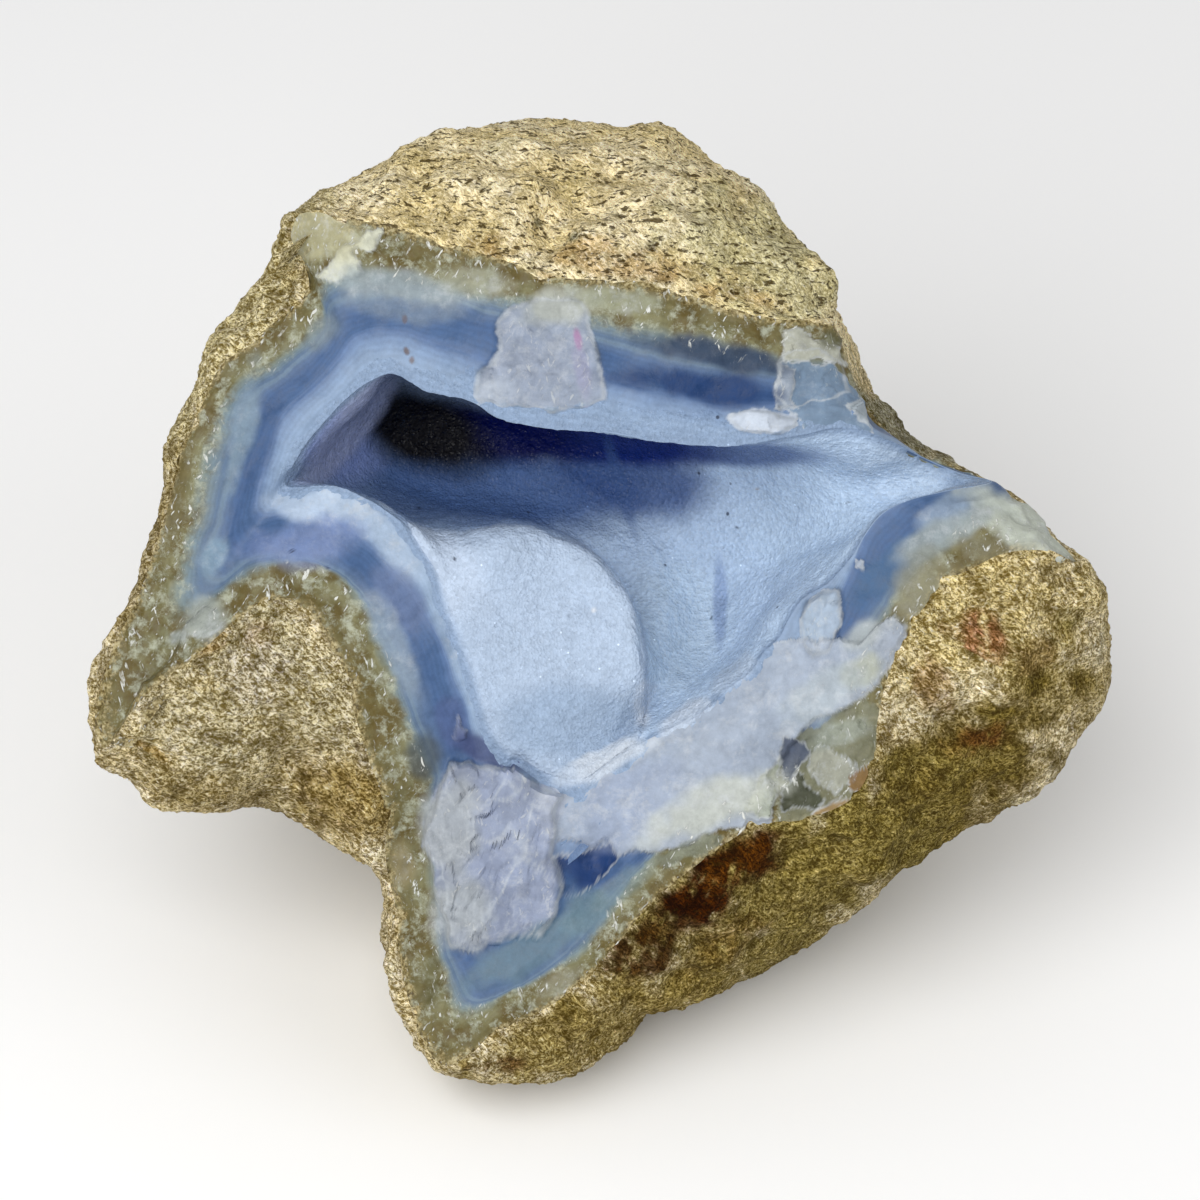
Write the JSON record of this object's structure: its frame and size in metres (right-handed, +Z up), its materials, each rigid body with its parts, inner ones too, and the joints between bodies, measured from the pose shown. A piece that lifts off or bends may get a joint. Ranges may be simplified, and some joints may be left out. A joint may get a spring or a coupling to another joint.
{
  "type": "blue lace agate geode",
  "caption": "Broken agate geode: granular rind, blue banded wall on the broken face and an open hollow lined with small pale crystals. Rests on a small flat spot.",
  "frame": {"origin": "on the flat spot that the stone rests on, about its middle", "axes": "+Z up, +X to the right as seen from the front, -Y towards the viewer; the broken face looks forward and 40 degrees up"},
  "size_m": [0.115, 0.0988, 0.0903],
  "materials": {
    "banded_stone": "granular brown-green rind; blue, lilac and pale bands with a waxy gloss on the broken face",
    "druzy_quartz": "sparkling pale blue crystal faces"
  },
  "bodies": {
    "root": {"geode_stone": "banded_stone", "druzy_crust": "druzy_quartz"}
  },
  "joints": []
}
